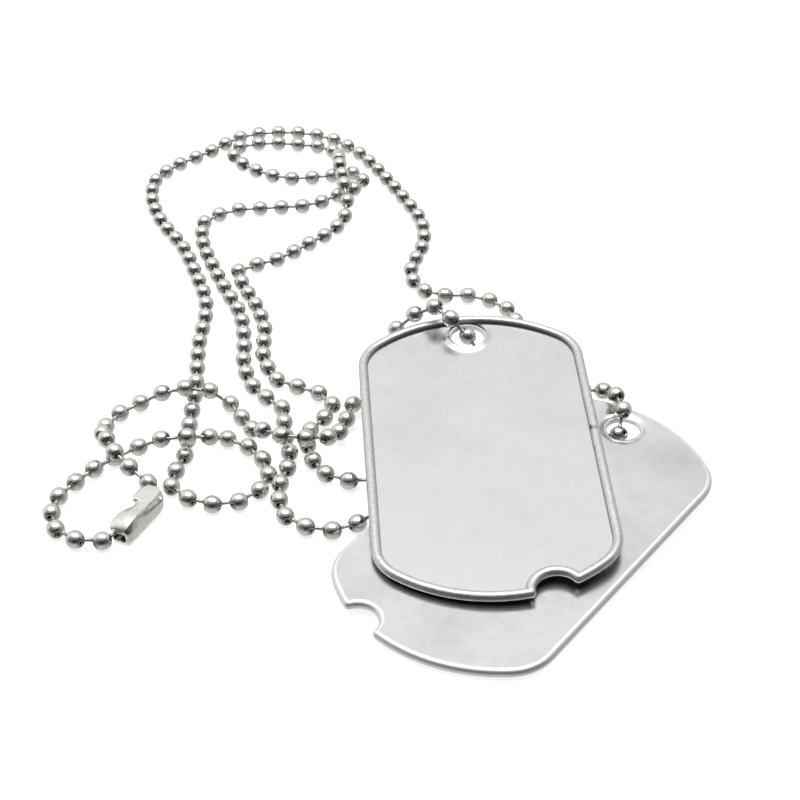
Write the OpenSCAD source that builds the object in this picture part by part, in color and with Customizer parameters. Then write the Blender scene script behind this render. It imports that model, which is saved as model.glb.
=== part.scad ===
// Two blank identification tags on a ball chain, lying on a flat surface.
// Millimetres. The origin is on the surface, under the middle of everything that lies there.
// +Z is up, +Y runs away from the viewer and +X to the viewer's right.

/* [Tag] */
// Length of a tag over its two bowed ends
tag_l = 50.8; // [48:0.1:53]
// Width of a tag over its straight sides
tag_w = 28.6; // [27:0.1:30]
// Radius of the bowed ends, outside
bow_r = 18.9; // [17:0.1:22]
// Radius of the four corners, outside
corner_r = 6; // [5:0.1:7]
// Thickness of the steel sheet
sheet_t = 0.45; // [0.35:0.05:0.5]
// Thickness of the rim that is rolled up round the edge
rim_d = 1.2; // [1.05:0.05:1.3]
// Diameter of the hole for the chain
hole_d = 4.25; // [4.1:0.05:4.6]
// Distance from the end of the tag to the middle of the hole
hole_inset = 4.2; // [4:0.1:4.8]
// Width of the pressed ring round the hole
dimple_w = 1.4; // [1:0.1:1.6]
// How far the ring is pressed up towards the front
dimple_rise = 0.45; // [0.2:0.05:0.5]
// Radius of the round notch in the other end
notch_r = 2.4; // [1.8:0.1:2.8]
// Distance of the notch from the tag's centre line
notch_offset = 5.9; // [5:0.1:6.4]

/* [Chain] */
// Diameter of a ball
bead_d = 2.2; // [1.9:0.05:2.25]
// Wanted distance from ball to ball; each stretch of the chain rounds it to a whole number of balls
bead_pitch = 3.2; // [2.9:0.05:3.6]
// Thickness of the link wire
wire_d = 0.5; // [0.4:0.05:0.55]
// Room between the wire and the hole of a ball, all round
wire_room = 0.15; // [0.1:0.01:0.2]
// Size of the hollow inside a ball, where the wire bends
hollow_d = 1.2; // [1.1:0.05:1.3]

/* [Coupling] */
// Distance between the two balls that it holds
held_span = 5.2; // [4.8:0.1:5.6]
// Thickness of its folded sheet
fold_t = 0.3; // [0.25:0.05:0.35]
// Room round the held balls
held_room = 0.13; // [0.1:0.01:0.15]
// Height of the slot that a link slides along
slot_h = 0.95; // [0.8:0.05:1.1]
// Length of the window that a ball is pushed in through
window_l = 2.3; // [2:0.1:2.6]
// How far the waist draws in on the window's side
waist_in = 0.5; // [0.3:0.05:0.7]

/* [Hidden] */
$fn = 48;

// Where the two tags lie: the middle of the hole, then the turns about X, Y and Z
upper_hole_at = [11.1, -7.9, 6.95];
upper_turn = [5.2, -2, 3.3];
lower_hole_at = [29.9, -23.1, 2.9];
lower_turn = [2.5, 1.3, -37];

// Where the coupling lies on the surface, and its heading
connector_at = [-28.3, -37.8];
connector_heading = 65;

// The chain's route, chosen by hand: x, y and the height of the ball above the surface that it rests on.
// A chain crossing another lies one ball and a little air higher.
over = bead_d + 0.2;
route_points = [
  [-32.1, -42.1, 0], [-37.1, -40.6, 0], [-38.6, -35.1, 0], [-36.1, -30.1, 0], [-31.1, -25.1, 0.2],
  [-25.6, -25.1, over], [-22.1, -24.6, 2.1], [-19.6, -22.1, 0], [-14.6, -26.1, 0],
  [-13.6, -30.6, 0], [-17.6, -35.1, 0], [-20.6, -35.1, 0], [-25.1, -31.6, 0], [-24.1, -26.1, 0],
  [-24.1, -19.6, 0], [-24.1, -10.6, 0], [-24.6, -1.1, 0], [-24.6, 9.9, 0], [-27.1, 18.9, 0],
  [-29.1, 24.9, 0], [-33.6, 33.9, 0], [-35.6, 40.9, 0], [-35.6, 46.4, 0], [-33.1, 50.9, 0],
  [-28.1, 55.9, 0], [-23.1, 61.4, 0], [-16.6, 62.9, 0], [-10.1, 61.4, 0], [-5.1, 56.9, 0],
  [-2.1, 51.9, 0], [0.9, 45.4, 0], [3.4, 39.4, 0], [5.4, 33.9, 0], [5.9, 27.4, 0], [4.4, 20.9, 0],
  [3.9, 17.9, 0], [6.9, 12.4, 0], [12.4, 11.9, 0], [16.9, 8.9, 0], [18.4, 3.9, 0],
  [16.9, -2.6, 0.9], [14.3, -6.7, 2.6], [12.5, -8.7, 4], [11.1, -8, 6.1], [8.8, -7, 8.3],
  [6.2, -4.2, 8.2], [3.5, -4.1, 6.2], [1.3, -4.5, 3.9], [2.4, -8.7, 1.6], [5.9, -12.6, 0],
  [10.9, -13.6, 0], [16.4, -13.6, 0], [22.4, -13.1, 0.8], [27.9, -15.6, 2.8], [29.4, -18.6, 4.1],
  [29.9, -22.1, 3.8], [29.3, -23.6, 1.8], [26.9, -21.6, 0], [22.4, -17.6, 0], [16.4, -17.1, 0],
  [11.9, -22.1, 0], [7.9, -27.1, 0], [3.9, -32.1, 0], [-0.1, -36.6, 0], [-5.1, -40.1, 0],
  [-10.6, -38.1, 0], [-12.1, -32.6, 0], [-11.1, -26.6, 0], [-12.1, -20.1, 0], [-12.6, -15.6, 0],
  [-16.1, -11.6, 0], [-18.1, -6.1, 0], [-18.6, 0.4, 0], [-19.6, 6.9, 0], [-22.1, 13.4, 0],
  [-24.6, 20.4, 0], [-26.6, 27.4, 0], [-26.6, 33.4, 0], [-23.1, 36.4, 0], [-17.1, 37.4, 0],
  [-11.1, 38.4, 0], [-6.1, 42.4, 0], [-3.6, 44.9, 0], [-4.1, 48.4, 0], [-8.1, 47.9, 0],
  [-14.6, 46.9, 0], [-20.6, 49.9, 0], [-24.1, 55.4, 0], [-23.1, 57.9, 0], [-19.6, 58.9, 0],
  [-13.6, 58.4, 0], [-9.1, 56.9, 0], [-7.6, 53.9, 0.6], [-7.1, 47.9, over], [-6.6, 44.4, over],
  [-6.1, 40.4, over], [-5.6, 36.4, 0.5], [-7.1, 31.4, 0], [-11.1, 26.4, 0], [-16.1, 21.4, 0],
  [-20.6, 18.9, 0], [-20.1, 15.9, 0], [-17.6, 9.4, 0], [-16.1, 3.9, 0], [-15.6, -4.1, 0],
  [-13.1, -9.6, 0], [-8.6, -11.6, 0], [-6.1, -15.6, 0], [-8.6, -19.6, 0], [-8.6, -25.6, 0],
  [-5.6, -30.1, 0], [0.4, -30.1, 0], [4.4, -26.1, 0], [4.9, -21.1, 0], [2.4, -16.1, 0],
  [-0.6, -13.1, 0.2], [-3.1, -14.6, 0.4], [-4.6, -19.6, 0.4], [-5.6, -22.6, 0.9],
  [-7.6, -25.1, over], [-11.1, -25.1, over], [-13.6, -23.6, 2.2], [-16.6, -19.6, 0],
  [-19.6, -14.6, 0.4], [-22.6, -14.6, over], [-25.6, -14.6, over], [-31.1, -14.6, 0],
  [-34.6, -19.6, 0], [-33.1, -26.1, over], [-31.1, -29.6, 2.2], [-27.6, -32.6, 0.9]
];

// Which of these points lie in the hole of the upper tag and of the lower one
upper_index = 44;
lower_index = 57;

// Small values that only keep one shape's faces off another's
past = 0.01;
tiny = 0.000001;

// The tag's edge, followed along the middle of its rolled rim
rim_r = rim_d / 2;
side_x = tag_w / 2 - rim_r;
end_y = tag_l / 2 - rim_r;
bow_mid_r = bow_r - rim_r;
bow_mid_y = end_y - bow_mid_r;
corner_mid_r = corner_r - rim_r;
corner_x = side_x - corner_mid_r;
corner_y = bow_mid_y + sqrt(pow(bow_mid_r - corner_mid_r, 2) - pow(corner_x, 2));
corner_turn = atan2(corner_y - bow_mid_y, corner_x);

// The notch is centred on the outer edge of the lower bow
notch_mid_r = notch_r + rim_r;
notch_bearing = asin(notch_offset / bow_r);
notch_y = -bow_mid_y - bow_r * cos(notch_bearing);
notch_half_gap = acos((pow(bow_mid_r, 2) + pow(bow_r, 2) - pow(notch_mid_r, 2)) / (2 * bow_mid_r * bow_r));
notch_half_turn = acos((pow(bow_r, 2) + pow(notch_mid_r, 2) - pow(bow_mid_r, 2)) / (2 * bow_r * notch_mid_r));

// The rim stands this little prouder where two of its parts meet
joint_proud = 0.01;

// The plate of a bow stops this far short of the corner's arc, in a step that the rim hides
strip_short = 0.8;

// The sheet's back face lies just inside the back of the rim
back_step = 0.07;
sheet_low = -rim_r + back_step;

// The underside of the pressed ring lies this far inside its top
press_in = 0.1;
hole_y = tag_l / 2 - hole_inset;

// A bore starts inside the hollow of its ball, at this share of the hollow's size from the middle
bore_from = 0.29;

// Radius of the coupling's long edges, as a share of its half width
edge_share = 0.6;

// The held balls lie inside the coupling
cavity_r = bead_d / 2 + held_room;
shell_r = cavity_r + fold_t;
held_lift = fold_t + held_room;
held_mid = [connector_at.x, connector_at.y, held_lift];
held_half = held_span / 2 * [cos(connector_heading), sin(connector_heading), 0];

// The centre line of the chain: a smooth curve through the route's points
rest_z = bead_d / 2;
route = concat([held_mid - held_half], route_points, [held_mid + held_half]);
last_index = len(route) - 1;
steps = 10;

// Direction of the curve at a point, weighted towards its nearer neighbour
function slope(i) =
  let (
    before = route[i] - route[max(i - 1, 0)],
    after = route[min(i + 1, last_index)] - route[i],
    d1 = norm(before),
    d2 = norm(after)
  )
  i == 0 ? after / d2
  : i == last_index ? before / d1
  : (before / d1 * d2 + after / d2 * d1) / (d1 + d2);

// Point of the curve between route points i and i + 1, at the share t of the way
function between(i, t) =
  let (d = norm(route[i + 1] - route[i]), t2 = pow(t, 2), t3 = pow(t, 3))
  (2 * t3 - 3 * t2 + 1) * route[i] + (t3 - 2 * t2 + t) * d * slope(i)
  + (3 * t2 - 2 * t3) * route[i + 1] + (t3 - t2) * d * slope(i + 1);

curve = [
  for (i = [0 : last_index - 1]) for (k = [0 : steps - 1]) between(i, k / steps),
  route[last_index]
];
curve_last = len(curve) - 1;
run_lengths = [
  for (i = 0, s = 0; i <= curve_last; s = s + (i < curve_last ? norm(curve[i + 1] - curve[i]) : 0), i = i + 1)
    s
];
table_x = [for (i = [0 : curve_last]) [run_lengths[i], curve[i].x]];
table_y = [for (i = [0 : curve_last]) [run_lengths[i], curve[i].y]];
table_z = [for (i = [0 : curve_last]) [run_lengths[i], curve[i].z]];

// Centre of a ball that is s along the chain; no ball sinks into the surface
function ball_at(s) = [lookup(s, table_x), lookup(s, table_y), rest_z + max(lookup(s, table_z), 0)];

// Balls share each stretch evenly, so that one sits in each tag's hole and one at each end of the coupling
function stretch(from, to) =
  let (a = run_lengths[from * steps], b = run_lengths[to * steps], n = round((b - a) / bead_pitch))
  [for (k = [0 : n - 1]) a + (b - a) * k / n];
places = concat(stretch(0, upper_index), stretch(upper_index, lower_index), stretch(lower_index, last_index),
  [run_lengths[curve_last]]);
balls = [for (s = places) ball_at(s)];
last_ball = len(balls) - 1;

// The wire's route through the balls, with a six-sided ring in each ball
wire_sides = 6;
function unit(v) = v / norm(v);
function along(i) = unit(balls[min(i + 1, last_ball)] - balls[max(i - 1, 0)]);
function wire_ring(i) =
  let (side = unit(cross(along(i), [0, 0, 1])), lift = cross(side, along(i)))
  [for (k = [0 : wire_sides - 1]) let (turn = 360 * k / wire_sides)
    balls[i] + wire_d / 2 * (cos(turn) * side + sin(turn) * lift)];

// A round bar along an arc about the origin of its plane
module rim_arc(radius, from, turn) {
  rotate([0, 0, from])
    rotate_extrude(angle = turn)
      translate([radius, 0])
        circle(r = rim_r);
}

// A ball that closes the rim where two of its parts meet
module rim_joint(radius, at) {
  rotate([0, 0, at])
    translate([radius, 0, 0])
      rotate([90, 0, 0])
        sphere(r = rim_r + joint_proud);
}

// The rolled rim: two straight sides, four corners, two bows and the notch
module rim() {
  for (side = [-1, 1])
    translate([side * side_x, -corner_y, 0])
      rotate([-90, 0, 0])
        cylinder(h = 2 * corner_y, r = rim_r);
  for (top = [0, 1])
    mirror([0, 1 - top, 0])
      for (side = [0, 1])
        mirror([side, 0, 0])
          translate([corner_x, corner_y, 0]) {
            rim_arc(corner_mid_r, 0, corner_turn);
            rim_joint(corner_mid_r, 0);
            rim_joint(corner_mid_r, corner_turn);
          }
  translate([0, bow_mid_y, 0])
    rim_arc(bow_mid_r, corner_turn, 180 - 2 * corner_turn);
  translate([0, -bow_mid_y, 0]) {
    rim_arc(bow_mid_r, 180 + corner_turn, 90 - corner_turn + notch_bearing - notch_half_gap);
    rim_arc(bow_mid_r, 270 + notch_bearing + notch_half_gap,
      90 - corner_turn - notch_bearing - notch_half_gap);
    for (side = [-1, 1])
      rim_joint(bow_mid_r, 270 + notch_bearing + side * notch_half_gap);
  }
  translate([notch_offset, notch_y, 0])
    rim_arc(notch_mid_r, 90 + notch_bearing - notch_half_turn, 2 * notch_half_turn);
}

// Outline of the flat sheet, which ends inside the rim
module sheet_outline() {
  strip = 2 * (bow_mid_r * cos(corner_turn) - strip_short);
  difference() {
    union() {
      square([2 * side_x, 2 * corner_y], center = true);
      for (x = [-1, 1], y = [-1, 1])
        translate([x * corner_x, y * corner_y])
          circle(r = corner_mid_r);
      for (y = [-1, 1])
        intersection() {
          translate([0, y * bow_mid_y])
            circle(r = bow_mid_r);
          square([strip, tag_l], center = true);
        }
    }
    translate([notch_offset, notch_y])
      circle(r = notch_mid_r);
  }
}

// One tag, front up, with the middle of its hole at the origin
module tag() {
  ring_r = hole_d / 2 + dimple_w;
  crest_r = hole_d / 2 + dimple_w / 3;
  translate([0, -hole_y, 0])
    difference() {
      union() {
        rim();
        translate([0, 0, sheet_low])
          linear_extrude(height = sheet_t)
            sheet_outline();
        translate([0, hole_y, sheet_low + sheet_t])
          cylinder(h = dimple_rise, r1 = ring_r, r2 = crest_r);
      }
      translate([0, hole_y, sheet_low - past])
        cylinder(h = dimple_rise + past, r1 = ring_r - press_in, r2 = crest_r - press_in);
      translate([0, hole_y, -rim_d])
        cylinder(h = 2 * rim_d, r = hole_d / 2);
    }
}

// The tag on top, front up
module upper_tag() {
  color("Silver")
    translate(upper_hole_at)
      rotate(upper_turn)
        tag();
}

// The tag underneath, turned over to show its back
module lower_tag() {
  color("Silver")
    translate(lower_hole_at)
      rotate(lower_turn)
        rotate([0, 180, 0])
          tag();
}

// One hollow ball, bored towards its neighbours. Its own +Z points to the next ball and its -X to the side
// that the chain comes from, so both bores stay away from the seam of the round surface.
module ball(i) {
  onward = unit(i < last_ball ? balls[i + 1] - balls[i] : balls[i] - balls[i - 1]);
  back = unit(i > 0 ? balls[i - 1] - balls[i] : balls[i] - balls[i + 1]);
  across = unit(cross(back, onward) + [0, 0, tiny]);
  towards = cross(across, onward);
  bend = acos(max(-1, min(1, -onward * back)));
  bore_d = wire_d + 2 * wire_room;
  multmatrix([
    [towards.x, across.x, onward.x, balls[i].x],
    [towards.y, across.y, onward.y, balls[i].y],
    [towards.z, across.z, onward.z, balls[i].z]
  ])
    difference() {
      // The poles of both spheres point across the bend, clear of the bores
      rotate([90, 0, 0])
        sphere(d = bead_d);
      rotate([90, 0, 0])
        sphere(d = hollow_d);
      if (i < last_ball)
        translate([0, 0, hollow_d * bore_from])
          cylinder(h = bead_d, d = bore_d);
      if (i > 0)
        rotate([0, bend - 180, 0])
          translate([0, 0, hollow_d * bore_from])
            cylinder(h = bead_d, d = bore_d);
    }
}

// All the balls of the chain
module chain_beads() {
  color("Gainsboro")
    for (i = [0 : last_ball])
      ball(i);
}

// The link wire from one held ball to the other
module chain_wire() {
  rings = [for (i = [0 : last_ball]) each wire_ring(i)];
  sides = [for (i = [0 : last_ball - 1]) for (k = [0 : wire_sides - 1])
    let (n = (k + 1) % wire_sides, a = i * wire_sides, b = a + wire_sides)
    [a + k, b + k, b + n, a + n]];
  first_cap = [[for (k = [0 : wire_sides - 1]) k]];
  last_cap = [[for (k = [wire_sides - 1 : -1 : 0]) last_ball * wire_sides + k]];
  color("DimGray")
    polyhedron(points = rings, faces = concat(sides, first_cap, last_cap));
}

// Plan of the coupling: a rounded bar with a drawn-in waist
module coupling_plan(radius) {
  difference() {
    union() {
      square([held_span, 2 * radius], center = true);
      for (x = [-1, 1])
        translate([x * held_span / 2, 0])
          circle(r = radius);
    }
    translate([0, radius + window_l - waist_in])
      circle(r = window_l);
  }
}

// Section across the coupling: flat top and bottom with rounded edges
module coupling_section(radius) {
  edge_r = radius * edge_share;
  union() {
    square([2 * radius, 2 * (radius - edge_r)], center = true);
    square([2 * (radius - edge_r), 2 * radius], center = true);
    for (x = [-1, 1], y = [-1, 1])
      translate([x * (radius - edge_r), y * (radius - edge_r)])
        circle(r = edge_r);
  }
}

// The coupling: a folded shell round the held balls, slotted along one side for the link
module connector() {
  color("Silver")
    translate([connector_at.x, connector_at.y, shell_r])
      rotate([0, 0, connector_heading])
        difference() {
          intersection() {
            translate([0, 0, -shell_r])
              linear_extrude(height = 2 * shell_r)
                coupling_plan(shell_r);
            rotate([90, 0, 90])
              translate([0, 0, -held_span])
                linear_extrude(height = 2 * held_span)
                  coupling_section(shell_r);
          }
          for (x = [-1, 1])
            translate([x * held_span / 2, 0, 0])
              sphere(r = cavity_r);
          rotate([0, 90, 0])
            translate([0, 0, -held_span / 2])
              cylinder(h = held_span, r = cavity_r);
          translate([-held_span, 0, -slot_h / 2])
            cube([2 * held_span, 2 * shell_r, slot_h]);
          translate([-window_l / 2, 0, -bead_d / 2])
            cube([window_l, 2 * shell_r, bead_d]);
        }
}

upper_tag();
lower_tag();
chain_beads();
chain_wire();
connector();
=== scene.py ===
# %% [markdown]
# # Two blank identification tags on a ball chain
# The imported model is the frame: its solids are where they should be and as large as they should be.
# This lesson loads it, sets up a camera and soft light, and then dresses each solid with a finer piece
# in the same place: the two steel tags with their rolled rims, the hollow balls of the chain, the short
# links between them and the folded coupling that closes the chain.

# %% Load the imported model
import math

import bmesh
import bpy
from mathutils import Euler, Matrix, Vector, noise


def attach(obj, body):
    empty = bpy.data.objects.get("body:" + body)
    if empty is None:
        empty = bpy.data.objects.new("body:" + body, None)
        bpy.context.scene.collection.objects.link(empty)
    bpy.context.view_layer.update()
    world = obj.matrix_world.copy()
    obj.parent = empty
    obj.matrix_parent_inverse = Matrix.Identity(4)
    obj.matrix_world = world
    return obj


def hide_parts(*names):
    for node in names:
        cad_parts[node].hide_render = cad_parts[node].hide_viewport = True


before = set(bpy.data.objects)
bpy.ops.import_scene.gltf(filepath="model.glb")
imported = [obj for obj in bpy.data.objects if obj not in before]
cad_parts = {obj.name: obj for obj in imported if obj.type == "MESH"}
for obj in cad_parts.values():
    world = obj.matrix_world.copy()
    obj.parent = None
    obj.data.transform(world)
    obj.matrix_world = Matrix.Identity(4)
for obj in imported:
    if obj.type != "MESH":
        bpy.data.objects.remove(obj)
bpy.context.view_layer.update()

scene = bpy.context.scene
MM = 0.001
print("nodes", sorted(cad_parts))

# %% [markdown]
# ## Camera
# The photograph looks down at the tags from about 35 degrees with a short telephoto lens. The camera
# stands as far away as the perspective of the upper tag says, so near and far balls differ in size as
# they do there.

# %% Camera
camera = bpy.data.objects.new("camera", bpy.data.cameras.new("camera"))
scene.collection.objects.link(camera)
camera.location = (0.0024, -0.2025, 0.1326)
camera.rotation_euler = (math.radians(90 - 34.85), 0, 0)
camera.data.sensor_width = 36
camera.data.lens = 80.69
camera.data.clip_start = 0.01
scene.camera = camera
scene.view_settings.view_transform = "Standard"
print("camera", tuple(camera.location))

# %% [markdown]
# ## Numbers in a material
# A material is a graph of nodes. To write its maths as plain Python, one small class wraps the output
# of a node: adding or multiplying two of them makes the Math node and its links. A recipe holds the
# graph and makes every other node from its type, its settings and the values of its sockets.

# %% Numbers in a material
class Number:
    """The output of a node, which Python's operators add, take away, multiply and compare."""

    def __init__(self, recipe, socket):
        self.recipe = recipe
        self.socket = socket

    def maths(self, operation, *numbers):
        return self.recipe.node("ShaderNodeMath", {"operation": operation}, dict(enumerate(numbers)))

    def __add__(self, other):
        return self.maths("ADD", self, other)

    def __sub__(self, other):
        return self.maths("SUBTRACT", self, other)

    def __rsub__(self, other):
        return self.maths("SUBTRACT", other, self)

    def __mul__(self, other):
        return self.maths("MULTIPLY", self, other)

    def __lt__(self, other):
        return self.maths("LESS_THAN", self, other)

    def __gt__(self, other):
        return self.maths("GREATER_THAN", self, other)

    def __abs__(self):
        return self.maths("ABSOLUTE", self)

    __radd__ = __add__
    __rmul__ = __mul__


class Recipe:
    """A graph of nodes that ends in a surface or a background."""

    def __init__(self, owner):
        owner.use_nodes = True
        self.tree = owner.node_tree
        self.tree.nodes.clear()

    def node(self, kind, settings=None, sockets=None, output=0):
        made = self.tree.nodes.new(kind)
        for key, value in (settings or {}).items():
            if key == "stops":
                ramp = made.color_ramp
                while len(ramp.elements) < len(value):
                    ramp.elements.new(0.5)
                for element, (place, grey) in zip(ramp.elements, value):
                    element.position = place
                    element.color = (grey, grey, grey, 1)
            else:
                setattr(made, key, value)
        for key, value in (sockets or {}).items():
            if isinstance(value, Number):
                self.tree.links.new(value.socket, made.inputs[key])
            else:
                made.inputs[key].default_value = value
        return Number(self, made.outputs[output])

    def ramp(self, number, *stops):
        return self.node("ShaderNodeValToRGB", {"stops": stops}, {"Fac": number})

    def noise(self, where, scale, detail=3.0, roughness=0.5):
        return self.node("ShaderNodeTexNoise", None,
                         {"Vector": where, "Scale": scale, "Detail": detail, "Roughness": roughness})

    def mix(self, share, first, second):
        return self.node("ShaderNodeMix", {"data_type": "RGBA"}, {0: share, 6: first, 7: second}, 2)

    def parts(self, vector):
        """The x, y and z of a vector, as three numbers."""
        made = self.tree.nodes.new("ShaderNodeSeparateXYZ")
        self.tree.links.new(vector.socket, made.inputs[0])
        return [Number(self, socket) for socket in made.outputs]

    def finish(self, sockets, kind="ShaderNodeBsdfPrincipled", end="ShaderNodeOutputMaterial"):
        shader = self.node(kind, None, sockets)
        self.tree.links.new(shader.socket, self.tree.nodes.new(end).inputs["Surface"])


def shaded(colour, share):
    """A colour made darker by a share."""
    return tuple(c * share for c in colour[:3]) + (1,)


def metal(recipe, colour, roughness, height, depth):
    """Ends a recipe as bare metal with a colour, a roughness and a fine relief."""
    bump = recipe.node("ShaderNodeBump", None, {"Height": height, "Distance": depth, "Strength": 1.0})
    recipe.finish({"Base Color": colour, "Roughness": roughness, "Metallic": 1.0, "Normal": bump})


# %% [markdown]
# ## Light
# Bright metal shows only what it mirrors, so the light is planned from the reflections. The flat faces
# mirror a pale background behind the object, the balls' tops a bright light overhead, and every face
# turned to the viewer a dark room in front. The world is that room, and an area light is the soft box.
# What the metal mirrors below the horizon is part of the world too, because a photographer's card is
# burnt out to white in the picture but far darker than white in the reflections.

# %% Light
world = bpy.data.worlds.new("studio")
scene.world = world
room = Recipe(world)
aside, ahead, up = room.parts(room.node("ShaderNodeTexCoord", output="Generated"))
height = up * 0.5 + 0.5
behind = room.ramp(height, (0.0, 0.72), (0.46, 0.74), (0.52, 0.8), (0.75, 0.84), (0.81, 0.95), (1.0, 1.0))
before = room.ramp(height, (0.0, 0.72), (0.22, 0.66), (0.38, 0.3), (0.48, 0.05), (0.505, 0.03), (0.76, 0.04),
                   (0.87, 0.3), (1.0, 0.8))
beside = room.ramp(height, (0.0, 0.7), (0.34, 0.46), (0.48, 0.12), (0.76, 0.18), (0.87, 0.42), (1.0, 0.8))
before = room.mix(room.ramp(abs(aside), (0.3, 0.0), (0.8, 1.0)), before, beside)
share = room.ramp(ahead * 0.5 + 0.5, (0.36, 0.0), (0.6, 1.0))
sides = 1.0 - aside * 0.25
sky = room.node("ShaderNodeVectorMath", {"operation": "SCALE"},
                {0: room.mix(share, before, behind), "Scale": sides})
room.finish({"Color": sky, "Strength": 1.0}, "ShaderNodeBackground", "ShaderNodeOutputWorld")

soft_box = bpy.data.objects.new("soft_box", bpy.data.lights.new("soft_box", "AREA"))
scene.collection.objects.link(soft_box)
soft_box.location = (0, 0.02, 0.55)
soft_box.data.shape = "RECTANGLE"
soft_box.data.size = 0.6
soft_box.data.size_y = 0.34
soft_box.data.energy = 2.0
print("light", soft_box.data.energy, "W")

# %% [markdown]
# ## Floor
# The object lies on plain white card that is also lit from below, so it comes out white with only a
# touch of shadow where something lies on it. The metal mirrors the room and not this card. The card is
# staging and no part of the object.

# %% Floor
card = Recipe(bpy.data.materials.new("white_card"))
card_place = card.node("ShaderNodeTexCoord", output="Object")
card_grain = card.noise(card_place, 40.0)
card.finish({"Base Color": card.mix(card_grain, (0.6, 0.6, 0.6, 1), (0.63, 0.63, 0.63, 1)),
             "Roughness": 0.7, "Specular IOR Level": 0.2,
             "Emission Color": (1, 1, 1, 1), "Emission Strength": 0.7})

bm = bmesh.new()
bmesh.ops.create_grid(bm, x_segments=4, y_segments=4, size=1.5)
floor_mesh = bpy.data.meshes.new("floor")
bm.to_mesh(floor_mesh)
bm.free()
floor = bpy.data.objects.new("floor", floor_mesh)
scene.collection.objects.link(floor)
floor_mesh.materials.append(bpy.data.materials["white_card"])
floor.visible_glossy = False

# %% [markdown]
# ## Finishes
# The sheet of the tags is stainless steel, rolled to a satin face: very fine grain along its length and
# faint smudges from handling. The rolled rim is the same steel, rubbed a little rougher. The balls are
# bright nickel plate with a seam where their strip was closed, and the links are plain drawn wire.

# %% Finishes
def tag_steel(name, heading, colour, smudged, patch):
    """Satin sheet: grain along the tag, soft clouds from handling and one duller patch."""
    r = Recipe(bpy.data.materials.new(name))
    place = r.node("ShaderNodeTexCoord", output="Object")
    along = r.node("ShaderNodeMapping", None,
                   {"Vector": place, "Rotation": (0, 0, math.radians(-heading)), "Scale": (9.0, 0.5, 9.0)})
    grain = r.noise(along, 420.0, 4.0, 0.6)
    cloud = r.ramp(r.noise(place, 130.0, 6.0, 0.68), (0.4, 0.0), (0.68, 1.0))
    mottle = r.noise(place, 520.0, 4.0, 0.7)
    x, y, z = r.parts(place)
    x, y = x - patch[0], y - patch[1]
    away = (x * x + y * y) * 26000.0
    rubbed = r.ramp(away + mottle * 0.55 + cloud * 0.25, (0.35, 1.0), (1.0, 0.0))
    marks = cloud * 0.5 + rubbed * (0.25 + 0.5 * mottle) + cloud * mottle * 0.5
    metal(r, r.mix(marks, colour, shaded(colour, smudged)), 0.2 + 0.06 * cloud + 0.03 * grain + 0.05 * rubbed,
          grain * 0.5 + cloud * 0.12, 0.000004)
    return bpy.data.materials[name]


def rim_steel(name, colour, rough, worn):
    """The rolled rim: satin, with little flats and nicks, and painted shade in the crease beside the sheet
    and, where asked, under the roll.
    """
    r = Recipe(bpy.data.materials.new(name))
    place = r.node("ShaderNodeTexCoord", output="Object")
    fine = r.noise(place, 2600.0, 3.0, 0.6)
    flats = r.noise(place, 480.0, 3.0, 0.5)
    nick = r.ramp(r.noise(place, 330.0, 1.0, 0.4), (0.71, 0.0), (0.76, 1.0))
    groove = r.node("ShaderNodeAttribute", {"attribute_name": "groove"}, output="Fac")
    # Real nicks plus painted shade from the attribute; where this is high the rim is mixed towards a fifth of
    # its colour.
    nicks_and_shade = r.ramp(nick * (0.5 * worn) + groove, (0.3, 0.0), (0.75, 1.0))
    grainy = r.mix(r.ramp(fine, (0.45, 0.0), (0.65, 1.0)), colour, shaded(colour, 1 - 0.2 * worn))
    metal(r, r.mix(nicks_and_shade, grainy, shaded(colour, 0.2)),
          rough + 0.1 * worn * flats + 0.06 * worn * fine,
          fine * (0.12 * worn) + flats * (0.7 * worn) - nick * (0.5 * worn), 0.00003)
    return bpy.data.materials[name]


def ball_nickel():
    """Bright plate on the balls: a dark closed seam, darker round the two holes, and fine wear."""
    r = Recipe(bpy.data.materials.new("ball_nickel"))
    place = r.node("ShaderNodeTexCoord", output="Object")
    own = r.node("ShaderNodeAttribute", {"attribute_name": "own"}, output="Vector")
    x, y, z = r.parts(own)
    wear = r.noise(place, 700.0, 4.0, 0.6)
    fine = r.noise(place, 5200.0, 2.0, 0.5)
    seam = (abs(y) < 0.035) * (x > 0)
    # Darker round the two holes, where the links go in.
    dark_at_holes = r.ramp(abs(z), (0.86, 0.0), (0.98, 1.0))
    worn = r.ramp(wear, (0.55, 0.0), (0.75, 1.0))
    marks = r.ramp(seam * 0.8 + dark_at_holes * 0.55 + worn * 0.25, (0.0, 0.0), (1.0, 1.0))
    metal(r, r.mix(marks, (0.69, 0.68, 0.65, 1), (0.14, 0.13, 0.12, 1)), 0.15 + 0.08 * wear + 0.04 * fine,
          wear * 0.4 + fine * 0.1 - seam * 0.7, 0.00003)
    return bpy.data.materials["ball_nickel"]


def link_wire():
    """Drawn wire, greyer than the plate, with fine rings of wear."""
    r = Recipe(bpy.data.materials.new("link_wire"))
    place = r.node("ShaderNodeTexCoord", output="Object")
    wear = r.noise(place, 1500.0, 3.0, 0.6)
    metal(r, r.mix(wear, (0.66, 0.65, 0.62, 1), (0.3, 0.29, 0.27, 1)), 0.2 + 0.14 * wear, wear, 0.00002)
    return bpy.data.materials["link_wire"]


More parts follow.
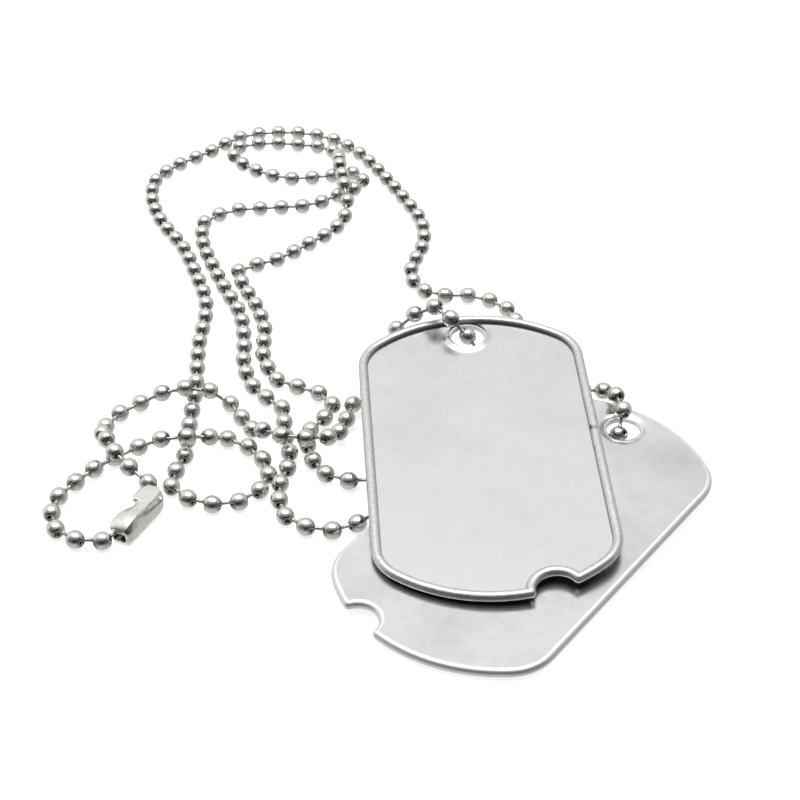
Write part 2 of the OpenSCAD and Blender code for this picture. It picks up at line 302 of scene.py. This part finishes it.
def coupling_plate(name, shade):
    """Folded plated sheet: hammered a little by its folding, with scuffs on the corners; a share below one
    darkens it as painted shade.
    """
    r = Recipe(bpy.data.materials.new(name))
    place = r.node("ShaderNodeTexCoord", output="Object")
    hammer = r.noise(place, 420.0, 2.0, 0.4)
    scuff = r.ramp(r.noise(place, 1300.0, 4.0, 0.7), (0.52, 0.0), (0.7, 1.0))
    bright, worn = shaded((0.82, 0.81, 0.78), shade), shaded((0.5, 0.48, 0.44), shade)
    metal(r, r.mix(scuff * 0.6, bright, worn), 0.2 + 0.14 * scuff, hammer + scuff * 0.06, 0.00009)
    return bpy.data.materials[name]


front_steel = tag_steel("front_steel", 3.3, (0.75, 0.76, 0.76, 1), 0.86, (0.0042, -0.0263))
back_steel = tag_steel("back_steel", -37, (0.765, 0.77, 0.77, 1), 0.76, (0.0353, -0.0300))
front_rim = rim_steel("front_rim", (0.68, 0.67, 0.65, 1), 0.3, 1.0)
back_rim = rim_steel("back_rim", (0.82, 0.82, 0.81, 1), 0.45, 0.3)
nickel, wire = ball_nickel(), link_wire()
# The inside copy is the same plate darkened to 22 per cent: painted shade inside the fold.
plate, plate_inside_shaded = coupling_plate("coupling_plate", 1.0), coupling_plate("coupling_inside", 0.22)
print("finishes", len(bpy.data.materials))

# %% [markdown]
# ## From a bmesh to a piece
# Every piece ends the same way: its mesh is put in its place in metres, its faces are shaded smooth up
# to a sharp angle, the solids it stands for are hidden and it is hung under the root body.

# %% From a bmesh to a piece
def piece(name, bm, place, materials, nodes, sharp=35.0):
    bmesh.ops.transform(bm, matrix=place, verts=bm.verts)
    mesh = bpy.data.meshes.new(name)
    bm.to_mesh(mesh)
    bm.free()
    for material in materials:
        mesh.materials.append(material)
    for polygon in mesh.polygons:
        polygon.use_smooth = True
    mesh.set_sharp_from_angle(angle=math.radians(sharp))
    made = bpy.data.objects.new(name, mesh)
    scene.collection.objects.link(made)
    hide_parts(*nodes)
    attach(made, "root")
    print(name, len(mesh.polygons), "faces")
    return made


def carry(bm, geom, centre=(0, 0, 0), degrees=0.0, steps=1, move=(0, 0, 0)):
    """Carries a point or ring on round an arc, or straight on by move, and returns where it ends."""
    made = bmesh.ops.spin(bm, geom=geom, cent=centre, axis=(0, 0, 1), angle=math.radians(degrees),
                          dvec=Vector(move) / steps, steps=steps, use_merge=False, use_duplicate=False)
    return made["geom_last"]


# %% [markdown]
# ## The tags
# A real tag is stamped from sheet, its edge is rolled up round a wire-like bead towards the front, and a
# ring is pressed up round the hole. The rim could be swept along a curve object. Here one ring of points
# is carried from arc to arc with spin instead, which keeps every stretch evenly divided, and the same
# walk with a single point gives the outline of the sheet.

# %% Sizes of a tag, in millimetres
TAG_LENGTH, TAG_WIDTH, BOW, CORNER = 50.8, 28.6, 18.9, 6.0
RIM, SHEET, HOLE, HOLE_INSET = 0.6, 0.45, 2.125, 4.2
HOLE_RING = ((3.7, 0.0), (3.2, 0.004), (3.0, 0.03), (2.82, 0.09), (2.65, 0.18), (2.49, 0.27), (2.36, 0.32),
             (2.26, 0.33), (2.17, 0.31), (HOLE, 0.26))
NOTCH, NOTCH_ASIDE = 2.4, 5.9

side_x = TAG_WIDTH / 2 - RIM
bow_r = BOW - RIM
bow_y = TAG_LENGTH / 2 - RIM - bow_r
corner_r = CORNER - RIM
corner_x = side_x - corner_r
corner_y = bow_y + math.sqrt((bow_r - corner_r) ** 2 - corner_x ** 2)
corner_turn = math.degrees(math.atan2(corner_y - bow_y, corner_x))
notch_r = NOTCH + RIM
notch_at = math.degrees(math.asin(NOTCH_ASIDE / BOW))
notch_y = -bow_y - BOW * math.cos(math.radians(notch_at))
notch_gap = math.degrees(math.acos((bow_r ** 2 + BOW ** 2 - notch_r ** 2) / (2 * bow_r * BOW)))
notch_turn = math.degrees(math.acos((BOW ** 2 + notch_r ** 2 - bow_r ** 2) / (2 * BOW * notch_r)))
hole_y = TAG_LENGTH / 2 - HOLE_INSET
SHEET_TOP = -RIM + 0.07 + SHEET
print("corner turn %.1f, notch half turn %.1f" % (corner_turn, notch_turn))


# %% Walk round a tag
def on_bow(degrees, sign):
    turn = math.radians(degrees)
    return Vector((bow_r * math.cos(turn), sign * bow_y + bow_r * math.sin(turn), 0))


def walk_edge(bm, geom):
    """Carries geom from the notch's right horn round the whole tag to its left horn."""
    geom = carry(bm, geom, (0, -bow_y, 0), 90 - corner_turn - notch_at - notch_gap, 10)
    geom = carry(bm, geom, (corner_x, -corner_y, 0), corner_turn, 9)
    geom = carry(bm, geom, move=(0, 2 * corner_y, 0), steps=24)
    geom = carry(bm, geom, (corner_x, corner_y, 0), corner_turn, 9)
    geom = carry(bm, geom, (0, bow_y, 0), 180 - 2 * corner_turn, 32)
    geom = carry(bm, geom, (-corner_x, corner_y, 0), corner_turn, 9)
    geom = carry(bm, geom, move=(0, -2 * corner_y, 0), steps=24)
    geom = carry(bm, geom, (-corner_x, -corner_y, 0), corner_turn, 9)
    return carry(bm, geom, (0, -bow_y, 0), 90 - corner_turn + notch_at - notch_gap, 20)


def ring_of(bm, centre, radius, degrees, inward, shade_under_roll, segments=16):
    """A ring of points square to the rim, which remembers where shade is painted: in the crease beside
    the sheet and, on the tag that lies on top, under the roll."""
    groove = bm.verts.layers.float["groove"]
    place = Matrix.Translation(centre) @ Matrix.Rotation(math.radians(degrees), 4, "Z")
    made = bmesh.ops.create_circle(bm, segments=segments, radius=radius,
                                   matrix=place @ Matrix.Rotation(math.radians(90), 4, "X"))
    points = made["verts"]
    for v in points:
        local = place.inverted() @ v.co
        # Painted shade: strongest at the sheet's level on the inner side of the roll, and on the outer side
        # below the middle of the roll for the tag that lies on top.
        if local.x * inward > 0.3:
            v[groove] = max(0.0, 1 - abs(local.z - SHEET_TOP) / 0.65)
        else:
            v[groove] = min(1.0, max(0.0, (-0.1 - local.z) / 0.3)) * shade_under_roll
    return points + list({e for v in points for e in v.link_edges})


# %% Rolled rim
def rolled_rim(bm, shade_under_roll):
    right, left = 270 + notch_at + notch_gap, 270 + notch_at - notch_gap
    bm.verts.layers.float.new("groove")
    first = ring_of(bm, on_bow(right, -1), RIM, right, -1, shade_under_roll)
    last = walk_edge(bm, first)
    first_notch = ring_of(bm, on_bow(left, -1), RIM, 90 + notch_at + notch_turn, 1, shade_under_roll)
    last_notch = carry(bm, first_notch, (NOTCH_ASIDE, notch_y, 0), -2 * notch_turn, 14)
    for end in (first, last, first_notch, last_notch):
        bmesh.ops.edgeloop_fill(bm, edges=[e for e in end if isinstance(e, bmesh.types.BMEdge)])
    for horn in (right, left):
        bmesh.ops.create_uvsphere(bm, u_segments=16, v_segments=12, radius=RIM,
                                  matrix=Matrix.Translation(on_bow(horn, -1)))
    for v in bm.verts:
        v.co += Vector((0, 0, 1)) * noise.noise(v.co * 0.7) * 0.012
        v.co *= 1 + noise.noise(v.co * 0.45 + Vector((7, 3, 1))) * 0.0006


# %% Pressed sheet
def pressed_sheet(bm):
    """The flat field with the ring pressed up round the hole. Its back is flush with the rim's."""
    right = 270 + notch_at + notch_gap
    start = on_bow(right, -1)
    start.z = SHEET_TOP
    point = bm.verts.new(start)
    end = walk_edge(bm, [point])
    carry(bm, end, (NOTCH_ASIDE, notch_y, 0), -2 * notch_turn, 14)
    bmesh.ops.remove_doubles(bm, verts=bm.verts, dist=0.001)
    outline = list(bm.edges)
    rings = []
    for radius, rise in HOLE_RING:
        made = bmesh.ops.create_circle(bm, segments=56, radius=radius,
                                       matrix=Matrix.Translation((0, hole_y, SHEET_TOP + rise)))
        rings.append(list({e for v in made["verts"] for e in v.link_edges}))
    for outer, inner in zip(rings, rings[1:]):
        bmesh.ops.bridge_loops(bm, edges=outer + inner)
    bmesh.ops.triangle_fill(bm, use_beauty=True, use_dissolve=False, edges=outline + rings[0],
                            normal=(0, 0, 1))
    walls = bmesh.ops.extrude_face_region(bm, geom=list(bm.faces))
    low = [v for v in walls["geom"] if isinstance(v, bmesh.types.BMVert)]
    bmesh.ops.translate(bm, verts=low, vec=(0, 0, -RIM - SHEET_TOP))


# %% Both tags
def make_tag(name, node, at, turn, turned_over, field, rim):
    """A whole tag with its hole's middle at a point, turned by three angles and, if asked, back up."""
    bm = bmesh.new()
    # Only the tag lying on top gets the painted shade under its roll.
    rolled_rim(bm, 0.0 if turned_over else 1.0)
    rim_faces = len(bm.faces)
    sheet = bmesh.new()
    pressed_sheet(sheet)
    scratch = bpy.data.meshes.new("sheet")
    sheet.to_mesh(scratch)
    sheet.free()
    bm.from_mesh(scratch)
    bpy.data.meshes.remove(scratch)
    bm.faces.ensure_lookup_table()
    for i, face in enumerate(bm.faces):
        face.material_index = 1 if i < rim_faces else 0
    bmesh.ops.recalc_face_normals(bm, faces=bm.faces)
    tilt = Euler([math.radians(a) for a in turn], "XYZ").to_matrix().to_4x4()
    place = Matrix.Translation(Vector(at) * MM) @ tilt
    if turned_over:
        place = place @ Matrix.Rotation(math.pi, 4, "Y")
    place = place @ Matrix.Scale(MM, 4) @ Matrix.Translation((0, -hole_y, 0))
    return piece(name, bm, place, [field, rim], [node])


make_tag("upper_tag_steel", "upper_tag", (11.1, -7.9, 6.95), (5.2, -2, 3.3), False,
         front_steel, front_rim)
make_tag("lower_tag_steel", "lower_tag", (29.9, -23.1, 2.9), (2.5, 1.3, -37), True,
         back_steel, back_rim)

# %% [markdown]
# ## Where the balls are
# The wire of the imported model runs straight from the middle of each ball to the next, with a ring of six
# points in each ball. Short edges belong to one ring and long ones join two, so the rings give the
# balls' middles and their order, and nothing has to be copied out of the drawing.

# %% Where the balls are
def ball_centres():
    """The middles of the balls in their order along the chain, in millimetres."""
    bm = bmesh.new()
    bm.from_mesh(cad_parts["chain_wire"].data)
    bmesh.ops.remove_doubles(bm, verts=bm.verts, dist=0.02 * MM)
    ring_no, rings = {}, []
    for v in bm.verts:
        if v in ring_no:
            continue
        ring_no[v] = len(rings)
        ring, waiting = [v], [v]
        while waiting:
            for e in waiting.pop().link_edges:
                if e.calc_length() < 0.7 * MM:
                    for other in e.verts:
                        if other not in ring_no:
                            ring_no[other] = len(rings)
                            ring.append(other)
                            waiting.append(other)
        rings.append(ring)
    middles = [sum((v.co for v in ring), Vector()) / len(ring) for ring in rings]
    beside = [set() for _ in rings]
    for e in bm.edges:
        a, b = (ring_no[v] for v in e.verts)
        if a != b:
            beside[a].add(b)
            beside[b].add(a)
    bm.free()
    here = min(k for k, near in enumerate(beside) if len(near) == 1)
    order = [here]
    while True:
        ahead_of = [k for k in beside[order[-1]] if len(order) < 2 or k != order[-2]]
        if not ahead_of:
            break
        order.append(ahead_of[0])
    return [middles[k] / MM for k in order]


centres = ball_centres()
print("balls", len(centres), "first", tuple(round(c, 2) for c in centres[0]))

# %% [markdown]
# ## The balls
# A ball is pressed from a little strip that is curled up round the two links, so it is hollow, has a
# seam and two small holes. One ball is spun from half a profile with few points, and a Subdivision
# Surface rounds it. Where the chain bends, the holes no longer face each other: a turn that grows
# from the middle to the ends moves them along the round surface, which stays round.

# %% One ball
CAGE_RADIUS, LIP_ANGLE, ARC_STEPS = 1.215, 27, 5


def ball_shape():
    """Half a profile, from the rolled-in lip of one hole to that of the other, spun once round."""
    bm = bmesh.new()
    profile = [(0.33, 0.9), (0.39, 1.04)]
    for k in range(ARC_STEPS + 1):
        turn = math.radians(LIP_ANGLE + (180 - 2 * LIP_ANGLE) * k / ARC_STEPS)
        profile.append((CAGE_RADIUS * math.sin(turn), CAGE_RADIUS * math.cos(turn)))
    profile += [(r, -z) for r, z in reversed(profile[:2])]
    points = [bm.verts.new((r, 0, z)) for r, z in profile]
    edges = [bm.edges.new(pair) for pair in zip(points, points[1:])]
    bmesh.ops.spin(bm, geom=points + edges, cent=(0, 0, 0), axis=(0, 0, 1), angle=2 * math.pi,
                   steps=10, use_merge=True, use_duplicate=False)
    bmesh.ops.recalc_face_normals(bm, faces=bm.faces)
    mesh = bpy.data.meshes.new("one_ball")
    bm.to_mesh(mesh)
    bm.free()
    return mesh


one_ball = ball_shape()
print("one ball", len(one_ball.polygons), "faces")


# %% All the balls
def way(a, b):
    return (b - a).normalized()


bm = bmesh.new()
own = bm.verts.layers.float_vector.new("own")
last = len(centres) - 1
for i, middle in enumerate(centres):
    onward = way(middle, centres[i + 1]) if i < last else way(centres[i - 1], middle)
    back = way(middle, centres[i - 1]) if i > 0 else way(centres[i + 1], middle)
    axis = (onward - back).normalized()
    across = back.cross(onward)
    across = across.normalized() if across.length > 1e-4 else axis.orthogonal().normalized()
    half_bend = axis.angle(onward)
    count = len(bm.verts)
    bm.from_mesh(one_ball)
    bm.verts.ensure_lookup_table()
    frame_turn = axis.to_track_quat("Z", "Y").to_matrix().to_4x4() @ Matrix.Rotation(i * 2.4, 4, "Z")
    for v in bm.verts[count:]:
        v[own] = v.co
        share_of_bend = max(-1.0, min(1.0, v.co.z / 1.05))
        v.co = Matrix.Rotation(half_bend * share_of_bend, 4, across) @ (frame_turn @ v.co) + middle
balls = piece("chain_balls", bm, Matrix.Scale(MM, 4), [nickel], ["chain_beads"], 180)
rounding = balls.modifiers.new("rounding", "SUBSURF")
rounding.levels = rounding.render_levels = 1

# %% [markdown]
# ## The links
# Between two balls shows only a short stretch of wire. Its ends are thickened heads that can't slip out
# of the holes. A short spun bar with two heads is stretched from ball to ball.

# %% Links
def link_shape():
    """A short bar with a head at each end, made 1.1 mm shorter than the distance it spans."""
    bm = bmesh.new()
    profile = [(0.0, 0.5), (0.36, 0.49), (0.36, 0.4), (0.25, 0.33), (0.22, 0.0)]
    profile += [(r, -z) for r, z in reversed(profile[:4])]
    points = [bm.verts.new((r, 0, z)) for r, z in profile]
    edges = [bm.edges.new(pair) for pair in zip(points, points[1:])]
    bmesh.ops.spin(bm, geom=points + edges, cent=(0, 0, 0), axis=(0, 0, 1), angle=2 * math.pi,
                   steps=8, use_merge=True, use_duplicate=False)
    bmesh.ops.remove_doubles(bm, verts=bm.verts, dist=0.0001)
    bmesh.ops.recalc_face_normals(bm, faces=bm.faces)
    mesh = bpy.data.meshes.new("one_link")
    bm.to_mesh(mesh)
    bm.free()
    return mesh


one_link = link_shape()
bm = bmesh.new()
for a, b in zip(centres, centres[1:]):
    count = len(bm.verts)
    bm.from_mesh(one_link)
    bm.verts.ensure_lookup_table()
    stretch = Matrix.Diagonal((1, 1, (b - a).length - 1.1, 1))
    place = Matrix.Translation((a + b) / 2) @ way(a, b).to_track_quat("Z", "Y").to_matrix().to_4x4() @ stretch
    bmesh.ops.transform(bm, matrix=place, verts=bm.verts[count:])
piece("chain_links", bm, Matrix.Scale(MM, 4), [wire], ["chain_wire"], 50)

# %% [markdown]
# ## The coupling
# The coupling is a strip of plated sheet, folded over lengthwise: a straight back wall, a domed lobe
# over one ball, a drawn-in waist and a flat tab with cut corners over the other ball. Its free side is
# open, so a ball can be pushed in there and a link can slide along. A cage with few faces is cut from a
# box with planes and each row of points is put where the fold needs it. Two modifiers then give the
# sheet its thickness and its roundness, and creased edges keep the folds crisp.

# %% Profile of the coupling
HELD, POD = 5.2, 1.53
END = HELD / 2 + POD


def along(x, *stops):
    """The value at x on a line through stops, which are pairs of a place and a value."""
    for (a, before_it), (b, after_it) in zip(stops, stops[1:]):
        if x <= b:
            return before_it + (after_it - before_it) * max(0.0, (x - a) / (b - a))
    return stops[-1][1]


def fold_point(x, y, z):
    """Where a point of the plain box goes in the folded sheet."""
    across = y / POD
    wall = along(x, (-END, 1.1), (-3.8, 1.36), (-3.3, 1.5), (-2.6, 1.56), (3.2, 1.56), (3.7, 1.28),
                 (END, 0.85))
    if z > 0:
        lip = along(x, (-END, 1.2), (-3.8, 1.45), (-3.3, 1.6), (-1.8, 1.64), (-1.1, 1.5), (-0.4, 1.12),
                    (0.3, 0.75), (0.8, 0.7), (1.0, 1.4), (3.2, 1.4), (3.7, 1.05), (END, 0.55))
    else:
        lip = along(x, (-END, 1.1), (-3.3, 1.5), (-2.6, 1.53), (-1.1, 1.3), (0.3, 1.0), (1.8, 1.35),
                    (2.6, 1.5), (3.3, 1.42), (END, 0.7))
    if z > 1:
        ridge = along(x, (-END, 0.66), (-3.8, 0.98), (-3.3, 1.3), (-2.6, 1.6), (-1.8, 1.66), (-0.4, 1.52),
                      (3.7, 1.45), (END, 1.36))
        edge = along(x, (-END, 0.56), (-3.3, 0.95), (-2.6, 1.04), (-1.8, 1.02), (0.8, 0.84), (1.0, 1.4),
                     (3.7, 1.4), (END, 1.32))
        z = ridge + (edge - ridge) * max(0.0, across)
        wall -= 0.42 if across < -0.9 else 0.1
    elif z > 0 and x < -3.9:
        z -= 0.3
    elif z < -1:
        if abs(across) > 0.9:
            wall -= 0.5 if z < -1.2 else 0.12
            lip -= 0.3 if z < -1.2 else 0.0
        x += 0.45 if x < -4 and z < -1.2 else 0.0
    return Vector((x, across * (lip if y > 0 else wall), z))


# %% Coupling
bm = bmesh.new()
bmesh.ops.create_cube(bm, size=2, matrix=Matrix.Diagonal((END, POD, POD, 1)))
for axis_no, cuts in ((0, (-3.8, -3.3, -2.6, -1.8, -1.1, -0.4, 0.3, 0.8, 1.0, 2.1, 3.2, 3.7)),
                      (1, (-1.1, 0.0, 1.0)), (2, (-1.05, -0.475, 0.475))):
    for cut in cuts:
        normal = Vector([float(k == axis_no) for k in range(3)])
        bmesh.ops.bisect_plane(bm, geom=list(bm.verts) + list(bm.edges) + list(bm.faces), dist=0.001,
                               plane_co=normal * cut, plane_no=normal)
gone = []
for face in bm.faces:
    c, n = face.calc_center_median(), face.normal
    in_slot = abs(c.z) < 0.475
    at_window = -0.4 < c.x < 1.0 and c.z > -1.05
    at_near_end = -1.05 < c.z < 0.475 and ((n.x < -0.9 and c.y > -1.1) or (c.x < -3.3 and n.y > 0.9))
    at_far_end = n.x > 0.9 and in_slot and c.y > 0
    if (n.y > 0.9 and (in_slot or at_window)) or at_near_end or at_far_end:
        gone.append(face)
bmesh.ops.delete(bm, geom=gone, context="FACES")
crease = bm.edges.layers.float.new("crease_edge")
for e in bm.edges:
    (ax, ay, az), (bx, by, bz) = (v.co for v in e.verts)
    lengthwise = abs(ax - bx) > 0.01
    top = az > 1 and bz > 1
    on_tab = min(ax, bx) > 0.9
    on_lip = ay > 0.9 or by > 0.9
    fold = lengthwise and abs(az - 0.475) < 0.01 and abs(bz - 0.475) < 0.01 and ay < -1.5
    tab_side = top and lengthwise and on_tab and (ay > 1.5 or ay < -1.5)
    tab_end = top and not lengthwise and (ax > END - 0.01 or (abs(ax - 1.0) < 0.01 and on_lip))
    e[crease] = 0.85 if tab_side or tab_end else 0.55 if fold else 0.0
for v in bm.verts:
    v.co = fold_point(*v.co)
place = Matrix.Translation(Vector((-28.3, -37.8, POD)) * MM) @ Matrix.Rotation(math.radians(65), 4, "Z")
coupling = piece("coupling_pod", bm, place @ Matrix.Scale(MM, 4), [plate, plate_inside_shaded],
                 ["connector"], 180)
sheet = coupling.modifiers.new("sheet", "SOLIDIFY")
sheet.thickness = 0.28 * MM
sheet.offset = -1
# The inner face of the sheet takes the darkened copy: painted shade inside the fold.
sheet.material_offset = 1
rounding = coupling.modifiers.new("rounding", "SUBSURF")
rounding.levels = rounding.render_levels = 2

# %% [markdown]
# ## Finish
# The dressed object has to keep the size of the imported solids. The spare meshes of one ball and one link
# are removed.

# %% Finish
for mesh in (one_ball, one_link):
    bpy.data.meshes.remove(mesh)
